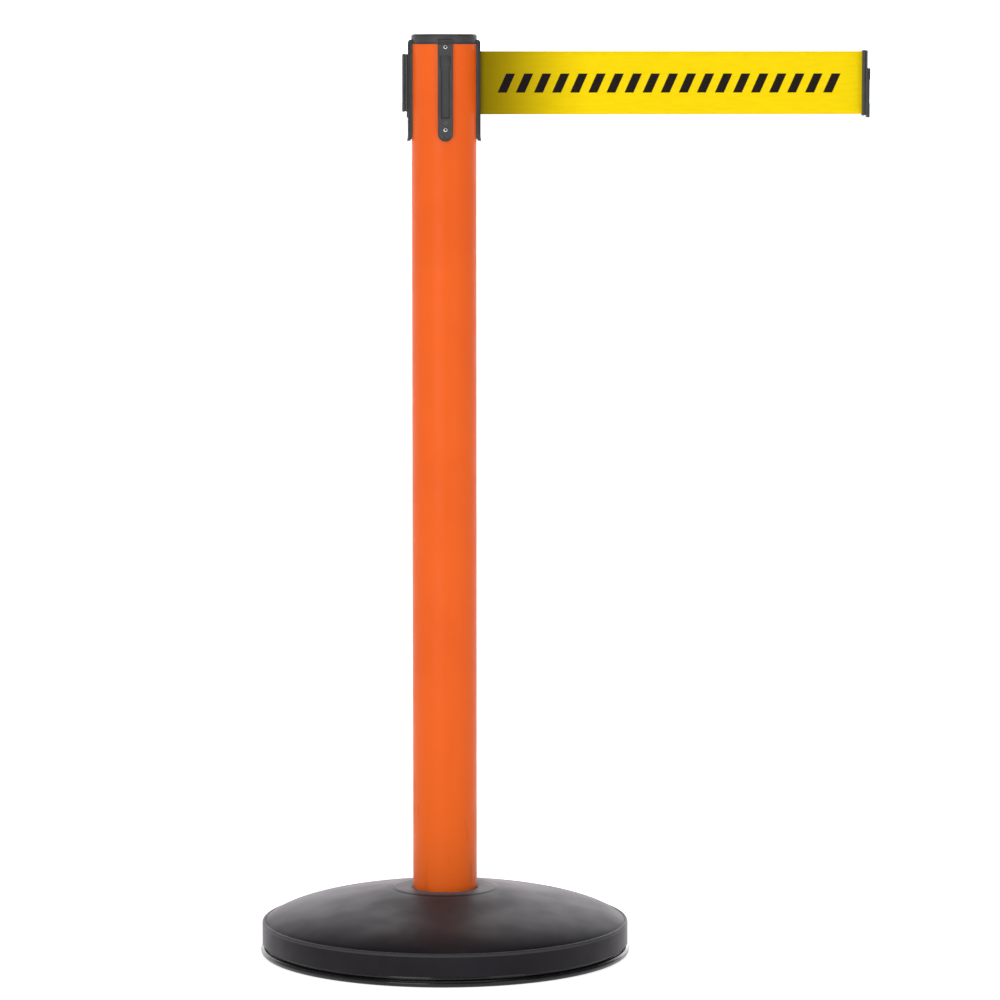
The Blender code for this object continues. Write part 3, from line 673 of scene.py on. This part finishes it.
def make_cover(material):
    """The dome, with a flat hub, a fine groove inside its rounded rim, and a hollow underside."""
    hole = TUBE_RADIUS + 2 * GAP
    profile = [(hole, COVER_TOP - 0.0009)]
    profile += arc((hole + 0.0009, COVER_TOP - 0.0009), 0.0009, 180, 90, 5)[1:]
    profile += [(0.0500, COVER_TOP), (0.0506, COVER_TOP - 0.0001), (0.0511, COVER_TOP - 0.0004)]
    profile += cone_points(28, 0.0)[1:-1]
    groove = COVER_RADIUS - 0.0039
    profile += [(groove, 0.03280), (groove + 0.0005, 0.03222)]
    profile += [(groove + 0.0008, 0.03222), (groove + 0.00115, 0.03262)]
    profile += arc((COVER_RADIUS - 0.0023, 0.0304), 0.0023, 95, 8, 10)
    profile += [(COVER_RADIUS, 0.0285), (COVER_RADIUS, 0.0200)]
    profile += arc((COVER_RADIUS - 0.0005, COVER_FOOT + 0.0005), 0.0005, 0, -90, 4)
    profile += [(COVER_RADIUS - COVER_WALL, COVER_FOOT)]
    profile += cone_points(12, COVER_WALL)[::-1]
    profile += [(hole, COVER_TOP - COVER_WALL)]
    cover = lathe("visual_base_cover", profile, 256)
    finish_mesh(cover, 50)
    dress(cover, material, "post", "base_cover")


def make_floor_mat(material):
    """A thin mat with a lip that stands inside the cover's rim, and a round bead outside it."""
    lip_in, lip_out, top = MAT_LIP_INNER, MAT_LIP_OUTER, MAT_LIP_TOP
    bead_top = 0.0068
    centre = MAT_RADIUS - MAT_BEAD
    profile = [(0.0, MAT_THICKNESS + 0.0002), (0.05, MAT_THICKNESS)]
    profile += [(lip_in, MAT_THICKNESS), (lip_in, top - 0.0002), (lip_in + 0.0002, top)]
    profile += [(lip_out - 0.0002, top), (lip_out, top - 0.0002)]
    profile += [(lip_out, bead_top), (centre - 0.0006, bead_top)]
    profile += arc((centre, MAT_BEAD), MAT_BEAD, 90, -62, 22)
    profile += [(centre + 0.0002, 0.0), (0.0, 0.0)]
    obj = lathe("visual_floor_mat", profile, 256, closed=False)
    finish_mesh(obj, 50)
    dress(obj, material, "post", "floor_mat")


# ---- post ---------------------------------------------------------------------------------


def screw_hole_tools(start, end, levels=("bottom", "top")):
    """Cutters for the screw holes on all four sides, from start to end outwards."""
    tools = []
    for side in SIDES:
        for level in levels:
            z = SCREW_HEIGHTS[level]
            tool = rod(f"hole_{side}_{level}", HOLE_RADIUS, (start, 0, z), (end, 0, z), 20)
            turn(tool, side)
            tools.append(tool)
    return tools


def make_tube(material):
    """The tube, with its screw holes and the slot that the belt comes through."""
    outer, inner = TUBE_RADIUS, TUBE_RADIUS - TUBE_WALL
    bottom, top = low("post_tube", 2), high("post_tube", 2)
    r = 0.0004
    profile = arc((outer - r, bottom + r), r, -90, 0, 3)
    profile += [(outer, z) for z in (bottom + 0.012, 0.2, 0.4, 0.6, 0.8, 0.8952)]
    profile += [(outer, top), (inner, top), (inner, bottom)]
    tube = lathe("visual_post_tube", profile, 256)
    half, more = 0.0032, 0.0008
    slot = soft_box("slot", (0.025, -half, BELT_LOW - more), (0.036, half, BELT_TOP + more))
    combine(tube, [slot, *screw_hole_tools(0.025, BEYOND_STRIP)], "DIFFERENCE")
    finish_mesh(tube, 40)
    dress(tube, material, "post", "post_tube")


def make_cap(material):
    """The cap, with a shallow dish, a rounded shoulder and a skirt inside the tube."""
    outer, top, foot = CAP_RADIUS, CAP_TOP, CAP_FOOT
    skirt_foot = CAP_SKIRT_FOOT
    ceiling = 0.9030
    profile = [(0.0, top - 0.0010), (0.0262, top - 0.0010)]
    profile += arc((0.0262, top - 0.0002), 0.0008, -90, -45, 3)[1:]
    profile += arc((0.0285, top - 0.0007), 0.0007, 135, 90, 3)
    profile += arc((outer - 0.0022, top - 0.0024), 0.0023, 78, 6, 8)
    profile += [(outer, foot + more) for more in (0.0052, 0.0030, 0.0003)]
    profile += [(outer - 0.0003, foot), (CAP_SKIRT_OUTER, foot)]
    profile += [(CAP_SKIRT_OUTER, skirt_foot + 0.0003), (CAP_SKIRT_OUTER - 0.0003, skirt_foot)]
    profile += [(CAP_SKIRT_INNER + 0.0003, skirt_foot), (CAP_SKIRT_INNER, skirt_foot + 0.0003)]
    profile += [(CAP_SKIRT_INNER, ceiling), (0.0, ceiling)]
    cap = lathe("visual_top_cap", profile, 192, closed=False)
    combine(cap, screw_hole_tools(0.025, 0.031, ("top",)), "DIFFERENCE")
    finish_mesh(cap, 40)
    dress(cap, material, "post", "top_cap")


# ---- receiver strips ----------------------------------------------------------------------


def strip_outline():
    """Straight sides, a square top and a half-round foot, anticlockwise, as (y, z) points."""
    half = STRIP_HALF_WIDTH
    foot = arc((0.0, STRIP_LOW + half), half, 180, 360, 32)
    sides = [(half, 0.83), (half, 0.86), (half, 0.89)]
    left = [(-y, z) for y, z in reversed(sides)]
    return [*foot, *sides, (half, STRIP_TOP), (-half, STRIP_TOP), *left]


def relief_tool():
    """The tube's place behind a strip, wider round the cap and where the foot lifts off."""
    gap, steps = 0.00006, 6
    inner, outer = TUBE_RADIUS + gap, CAP_RADIUS + gap
    above, step_height = STRIP_TOP + 0.002, 0.8999
    profile = [(0.0, above), (outer, above), (outer, step_height)]
    profile += [(inner, step_height), (inner, STRIP_BEND)]
    for i in range(1, steps + 1):
        t = i / steps
        profile.append((inner + 0.0042 * t * t, STRIP_BEND - 0.009 * t))
    profile.append((0.0, STRIP_LOW - 0.003))
    return lathe("relief", profile, 256, closed=False)


def shoulder_tool():
    """Rounds the outer corner off the top of a strip."""
    r, beyond = 0.0030, 0.002
    outline = [(STRIP_FACE + beyond, STRIP_TOP + beyond), (STRIP_FACE - r, STRIP_TOP + beyond)]
    outline += arc((STRIP_FACE - r, STRIP_TOP - r), r, 90, 0, 10)
    outline += [(STRIP_FACE + beyond, STRIP_TOP - r)]
    tool = plate("shoulder", outline, -0.01, 0.01)
    tool.data.transform(MIRRORED)
    tool.data.flip_normals()
    return tool


def rounded_rectangle(half, bottom, top, r):
    """An outline 2 * half wide with corners of radius r, anticlockwise, as (y, z) points."""
    left, right, lower, upper = -half + r, half - r, bottom + r, top - r
    corners = [(right, lower), (right, upper), (left, upper), (left, lower)]
    outline = []
    for i, centre in enumerate(corners):
        outline += arc(centre, r, 90 * i - 90, 90 * i, 4)
    return outline


def flare(name, half, bottom, top, soft):
    """A cutter that widens like a trumpet, to round the edge of an opening in a strip's face."""
    levels = [(STRIP_FACE - soft - 0.0006, 0.0)]
    levels += reversed(rim_levels(STRIP_FACE, soft, -1))
    levels += [(STRIP_FACE + 0.001, soft)]
    rings = []
    for depth, more in levels:
        points = rounded_rectangle(half + more, bottom - more, top + more, 0.0008 + more)
        rings.append([(depth, y, z) for y, z in points])
    return through_rings(name, rings)


def slot_tool(name, near, far, half, bottom, top, r=0.0008):
    """A cutter for a rounded opening, from near to far outwards."""
    tool = plate(name, rounded_rectangle(half, bottom, top, r), near, far)
    tool.data.transform(STANDING)
    return tool


def raised_ring(name, z, radius):
    """A thin moulded ring round z, half sunk in a strip's face."""
    shape = bmesh.new()
    rings = []
    steps, around, thick, sunk = 32, 10, 0.00034, 0.00008
    for i in range(steps):
        a = 2 * math.pi * i / steps
        ring = []
        for k in range(around):
            b = 2 * math.pi * k / around
            out = radius + thick * math.cos(b)
            depth = STRIP_FACE - sunk + thick * math.sin(b)
            ring.append(shape.verts.new((depth, out * math.cos(a), z + out * math.sin(a))))
        rings.append(ring)
    for i in range(steps):
        join_rings(shape, rings[i], rings[(i + 1) % steps])
    return link(name, mesh_of(shape, name))


def lean_foot(obj):
    """Bends the strip's foot a little away from the tube."""
    shape = bmesh.new()
    shape.from_mesh(obj.data)
    for i in range(4):
        spot = (0.0, 0.0, STRIP_BEND - 0.0015 * i)
        geom = [*shape.verts, *shape.edges, *shape.faces]
        bmesh.ops.bisect_plane(shape, geom=geom, plane_co=spot, plane_no=(0, 0, 1), dist=1e-6)
    for vert in shape.verts:
        t = max(0.0, (STRIP_BEND - vert.co.z) / (STRIP_BEND - STRIP_LOW))
        vert.co.x += 0.0012 * t * t
    shape.to_mesh(obj.data)
    shape.free()


def screw_seat_tools():
    """A strip's two screw holes and the round seats of their heads."""
    tools = []
    for level, z in SCREW_HEIGHTS.items():
        tools.append(rod(f"hole_{level}", HOLE_RADIUS, (0.028, 0, z), (BEYOND_STRIP, 0, z), 20))
        tools.append(rod(f"seat_{level}", SEAT_RADIUS, (SEAT_DEPTH, 0, z), (0.038, 0, z), 40))
    return tools


def mouth_tools():
    """The slot that the belt comes out of, with rounded lips."""
    half, bottom, top = MOUTH_HALF_WIDTH, MOUTH_LOW, MOUTH_TOP
    return [
        slot_tool("mouth", 0.029, BEYOND_STRIP, half, bottom, top, 0.0005),
        flare("mouth_flare", half, bottom, top, 0.0006),
    ]


def channel_tools():
    """A receiver's undercut channel, its opening, and the wide window at the channel's top."""
    narrow, wide = CHANNEL_HALF_MOUTH, CHANNEL_HALF_WIDTH
    floor, bottom, top = CHANNEL_FLOOR, CHANNEL_LOW, CHANNEL_TOP
    return [
        slot_tool("undercut", floor, CHANNEL_LIP, wide, bottom, top),
        slot_tool("opening", floor, BEYOND_STRIP, narrow, bottom, top),
        slot_tool("window", floor, BEYOND_STRIP, wide, WINDOW_LOW, top),
        flare("opening_flare", narrow, bottom, top, 0.0004),
        flare("window_flare", wide, WINDOW_LOW, top, 0.0004),
    ]


def make_strip(name, side, material, node):
    """A strip with rounded edges, its back fitted to the tube, with screw seats and a mark."""
    strip = plate(name, strip_outline(), STRIP_BACK, STRIP_FACE, 0.0, 0.0008, 5)
    strip.data.transform(STANDING)
    lean_foot(strip)
    mark = raised_ring(f"mark_{side}", SCREW_HEIGHTS["bottom"] + 0.0068, 0.0014)
    combine(strip, [mark], "UNION")
    openings = mouth_tools() if side == "right" else channel_tools()
    tools = [relief_tool(), shoulder_tool(), *screw_seat_tools(), *openings]
    combine(strip, tools, "DIFFERENCE")
    turn(strip, side)
    finish_mesh(strip, 32, weighted=True)
    dress(strip, material, "post", node)


def screw_profile(head):
    """A button head of this height on a shank, as (radius, height) points."""
    flat, round_width, shank = 0.0014, 0.00085, 0.0015
    foot = -0.0095
    profile = [(0.0, head), (flat, head)]
    for i in range(1, 9):
        a = math.pi / 2 * i / 8
        fall = (head - 0.0002) * (1 - math.cos(a))
        profile.append((flat + round_width * math.sin(a), head - fall))
    profile += [(flat + round_width, 0.0), (shank, 0.0), (shank, foot + 0.0005)]
    return [*profile, (shank - 0.0003, foot), (0.0, foot)]


def make_screws(material):
    """Button-head screws with a hexagon socket."""
    head = SCREW_FACE - SCREW_SEAT
    for side in SIDES:
        for level, z in SCREW_HEIGHTS.items():
            name = f"visual_screw_{side}_{level}"
            screw = lathe(name, screw_profile(head), 48, closed=False)
            socket_ends = (0, 0, head - 0.0009), (0, 0, head + 0.001)
            socket = rod(f"{name}_socket", 0.00135, *socket_ends, 6)
            combine(screw, [socket], "DIFFERENCE")
            tip_over = Matrix.Rotation(math.pi / 2, 4, "Y")
            screw.data.transform(Matrix.Translation((SCREW_SEAT, 0, z)) @ tip_over)
            turn(screw, side)
            finish_mesh(screw, 40)
            dress(screw, material, "post", f"screw_{side}_{level}")


# ---- belt, coil and clips -----------------------------------------------------------------


def belt_path():
    """The belt's middle line: off the coil, round the front guide pin and straight out."""
    half = BELT_THICKNESS / 2
    pin_low, pin_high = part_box("guide_pin_front")
    pin = Vector(((pin_low[0] + pin_high[0]) / 2, (pin_low[1] + pin_high[1]) / 2))
    around_coil = COIL_RADIUS + GAP + half
    around_pin = (pin_high[0] - pin_low[0]) / 2 + GAP + half
    lean = math.asin((around_coil + around_pin) / pin.length)
    way = math.atan2(pin.y, pin.x) + lean
    start = (around_coil * math.sin(way), -around_coil * math.cos(way))
    bend = arc(pin, around_pin, 90 + math.degrees(way), 90, 10)
    end = (high("belt_webbing", 0), 0.0)
    return [start, *bend, (STRIP_FACE - 0.0045, 0.0), (STRIP_FACE - 0.001, 0.0), end]


def belt_section():
    """Half-round firm edges and a flat middle, as (offset, z) points round the belt."""
    half = BELT_THICKNESS / 2
    steps = 12
    flat = BELT_TOP - BELT_LOW - 2 * half
    heights = [BELT_LOW + half + flat * i / steps for i in range(1, steps)]
    return [
        *arc((0.0, BELT_LOW + half), half, 180, 360, 6),
        *[(half, z) for z in heights],
        *arc((0.0, BELT_TOP - half), half, 0, 180, 6),
        *[(-half, z) for z in reversed(heights)],
    ]


def loft(name, path, section):
    """A mesh that carries a section of (offset, z) points along a path of (x, y) points."""
    rings = []
    for i, here in enumerate(path):
        before = Vector(path[max(0, i - 1)])
        after = Vector(path[min(len(path) - 1, i + 1)])
        way = (after - before).normalized()
        side = Vector((-way.y, way.x))
        spots = [Vector(here) + side * offset for offset, _ in section]
        rings.append([(spot.x, spot.y, z) for spot, (_, z) in zip(spots, section)])
    return through_rings(name, rings)


def make_belt(material):
    """The drawn-out belt, from the coil round the front guide pin and out of the mouth to the end
    clip.
    """
    path = belt_path()
    belt = loft("visual_belt", path, belt_section())
    finish_mesh(belt, 50)
    belt.data.materials.append(material)
    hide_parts("belt_webbing")
    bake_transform(belt)


def make_coil(material):
    """The wound belt, turn on turn."""
    half = COIL_HALF_THICKNESS
    start, growth = COIL_CORE + half, COIL_RADIUS - COIL_CORE - 2 * half
    turns = growth / COIL_PITCH
    steps = int(turns * 40)
    path = []
    for i in range(steps + 1):
        angle = -2 * math.pi * turns * i / steps
        radius = start + growth * i / steps
        path.append((radius * math.cos(angle), radius * math.sin(angle)))
    section = [(-half, BELT_LOW), (half, BELT_LOW), (half, BELT_TOP), (-half, BELT_TOP)]
    coil = loft("visual_belt_coil", path, section)
    finish_mesh(coil, 40)
    dress(coil, material, "spool", "belt_coil")


def clip_flange(name, depth, bottom, top):
    """The grip of a clip, with a large radius on its outer top corner, in x and z."""
    r_top, r_low, r_in = 0.0020, 0.0010, 0.0008
    outline = arc((depth - r_in, bottom + r_in), r_in, 270, 360, 4)
    outline += arc((depth - r_in, top - r_in), r_in, 0, 90, 4)
    outline += arc((r_top, top - r_top), r_top, 90, 180, 8)[1:]
    outline += arc((r_low, bottom + r_low), r_low, 180, 270, 5)
    piece = plate(name, outline, -0.007, 0.007, 0.0006, 0.0006, 4)
    piece.data.transform(UPRIGHT)
    return piece


def grip_ribs(name, bottom, top):
    """Two fine ribs on each side of a clip's grip."""
    ribs = []
    middle = (bottom + top) / 2
    reach = (top - bottom) / 2 - 0.009
    for way in (-1, 1):
        for i, x in enumerate((0.0008, 0.0016)):
            ends = (x, way * 0.00695, middle - reach), (x, way * 0.00695, middle + reach)
            ribs.append(rod(f"{name}_rib_{way}_{i}", 0.00025, *ends, 10, 0.0001))
    return ribs


def clip_parts(name, bottom, top):
    """What is joined to a clip's grip: web, block, neck, head and ribs."""
    neck_low, head_low, head_top = CLIP_NECK_LOW, CLIP_HEAD_LOW, CLIP_HEAD_TOP
    return [
        soft_box("web", (0.0010, -0.0045, bottom + 0.001), (0.0045, 0.0045, top - 0.001), 0.0002),
        soft_box("block", (0.0029, -0.006, bottom + 0.0005), (0.0053, 0.006, top - 0.0005), 0.0005),
        soft_box("neck", (0.0045, -0.0040, neck_low), (0.0077, 0.0040, head_top), 0.0003),
        soft_box("head", (0.0068, -0.0051, head_low), (0.0082, 0.0051, head_top), 0.0003),
        *grip_ribs(name, bottom, top),
    ]


def make_clip(name, node, near, bottom, top, material, pin_material, body):
    """A clip: grip, groove, block, neck and head, with a slot and a pin for the webbing."""
    clip = clip_flange(name, 0.0024, bottom, top)
    combine(clip, clip_parts(name, bottom, top), "UNION")
    inner = CLIP_SLOT_DEPTH
    tools = [
        soft_box("slot", (-0.001, -0.0010, bottom + 0.0011), (inner, 0.0010, top - 0.0011)),
        rod("bore", 0.0012, (inner, 0, bottom + 0.0006), (inner, 0, top + 0.001), 32),
    ]
    combine(clip, tools, "DIFFERENCE")
    clip.data.transform(Matrix.Translation((near, 0, 0)))
    finish_mesh(clip, 35, weighted=True)
    dress(clip, material, body, node)
    ends = (near + inner, 0, bottom + 0.0009), (near + inner, 0, top - 0.0006)
    pin = rod(f"{name}_pin", 0.0009, *ends, 32, 0.0002)
    finish_mesh(pin, 40)
    dress(pin, pin_material, body, f"{node}_pin")


# ---- everything ---------------------------------------------------------------------------


def paint_node(name, material):
    """A kept CAD node gets the finished material in each of its slots."""
    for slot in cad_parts[name].material_slots:
        slot.material = material


def make_pieces():
    """Every visual piece, then the finished materials of the CAD nodes that are kept."""
    dark, light = (0.028, 0.0265, 0.029), (0.039, 0.0375, 0.041)
    head = moulded("head_plastic", (dark, light), (0.11, 0.11, 0.115), (0.42, 0.54), 1400.0, True)
    dark, light = (0.030, 0.033, 0.034), (0.042, 0.046, 0.048)
    clip = moulded("clip_plastic", (dark, light), (0.10, 0.11, 0.115), (0.34, 0.46), 1400.0)
    dark, light = (0.022, 0.022, 0.024), (0.034, 0.034, 0.037)
    inside = moulded("cassette_plastic", (dark, light), (0.07, 0.07, 0.075), (0.45, 0.60), 900.0)
    zinc = steel("zinc_steel", (0.66, 0.66, 0.64), (0.28, 0.42), 260.0)
    screw = steel("screw_steel", (0.86, 0.86, 0.86), (0.24, 0.36), 420.0, shaded_below=0.0349)
    spring = steel("spring_steel", (0.20, 0.22, 0.27), (0.26, 0.40), 300.0)
    iron = cast_iron()
    belt = webbing()

    make_floor_mat(rubber())
    make_cover(cover_plastic())
    make_tube(orange_paint())
    make_cap(head)
    for side in ("front", "back", "left"):
        make_strip(f"visual_receiver_{side}", side, head, f"receiver_{side}")
    make_strip("visual_belt_mouth", "right", head, "belt_mouth")
    make_screws(screw)
    near = low("docked_clip", 0)
    make_clip("visual_docked_clip", "docked_clip", near, 0.834, 0.891, clip, zinc, "docked_clip")
    low_end, high_end = BELT_LOW - 0.0015, BELT_TOP + 0.0015
    make_clip("visual_belt_end_clip", "belt_end_clip", BELT_END, low_end, high_end, clip, zinc, "belt")
    make_belt(belt)
    make_coil(belt)

    kept_nodes = (
        (zinc, ("base_bolt", "spring_washer", "base_washer", "tube_foot_plug", "spool_axle")),
        (zinc, ("guide_pin_front", "guide_pin_back")),
        (spring, ("axle_circlip", "power_spring")),
        (inside, ("cassette_frame", "cassette_lid", "spring_cover")),
        (iron, ("base_weight",)),
        (acetal(), ("spool",)),
    )
    for material, names in kept_nodes:
        for name in names:
            paint_node(name, material)


# ---- studio -------------------------------------------------------------------------------


def make_floor():
    """A wide pale floor with a faint mottle, just below the part."""
    z = -0.00005
    floor = lathe("studio_floor", [(0.0, z), (1.0, z), (60.0, z)], 96, closed=False)
    skin = Skin("studio_floor")
    colour = skin.mix(skin.cloud(3.0, 3.0, 0.3, 0.7), (0.90, 0.90, 0.90), (0.93, 0.93, 0.93))
    skin.bump(skin.noise(180.0, 2.0), 0.0002, 0.1)
    rough = skin.cloud(40.0, 2.0, 0.3, 0.7, 0.75, 0.9)
    glow = {"Emission_Color": (1.0, 1.0, 1.0, 1.0), "Emission_Strength": 0.80}
    floor.data.materials.append(skin.done(colour, rough, **glow))


def make_world():
    """White at the horizon, bright behind the post and most so on the right, dim overhead."""
    world = bpy.data.worlds.new("studio")
    world.use_nodes = True
    sky = Graph(world.node_tree)
    x, y, z = sky.split(sky.node("ShaderNodeTexCoord").outputs["Generated"])
    side = sky.span(x, -0.5, 0.7, 0.30, 0.12)
    behind = sky.times(sky.span(y, 0.58, 0.85, 0.0, 1.95), sky.span(x, -0.4, 0.4, 0.80, 1.40))
    level = sky.math("ADD", side, behind)
    upper = sky.times(level, sky.span(z, 0.60, 0.85, 1.0, 0.10))
    horizon = sky.span(z, 0.05, 0.10, 1.0, 0.0)
    background = sky.tree.nodes["Background"]
    sky.put(background.inputs["Color"], (1.0, 1.0, 1.0, 1.0))
    sky.put(background.inputs["Strength"], sky.math("MAXIMUM", upper, horizon))
    bpy.context.scene.world = world


def make_light(name, spot, aim, size, power):
    data = bpy.data.lights.new(name, "AREA")
    data.shape = "RECTANGLE"
    data.size, data.size_y = size
    data.energy = power
    lamp = bpy.data.objects.new(name, data)
    bpy.context.scene.collection.objects.link(lamp)
    lamp.location = spot
    way = Vector(aim) - Vector(spot)
    lamp.rotation_euler = way.to_track_quat("-Z", "Y").to_euler()


def make_studio():
    """A plain floor, a soft world and three large soft lamps."""
    make_floor()
    make_world()
    make_light("key", (-1.6, -3.6, 0.9), (0.0, 0.0, 0.4), (1.8, 1.5), 31.0)
    make_light("fill", (2.4, -3.2, 0.8), (0.0, 0.0, 0.4), (1.6, 1.3), 10.0)
    make_light("top", (0.0, -0.6, 3.4), (0.0, 0.0, 0.0), (2.6, 2.6), 30.0)
    bpy.context.scene.view_settings.view_transform = "Standard"


make_pieces()
make_studio()


def plain(box):
    return [[float(value) for value in corner] for corner in box]
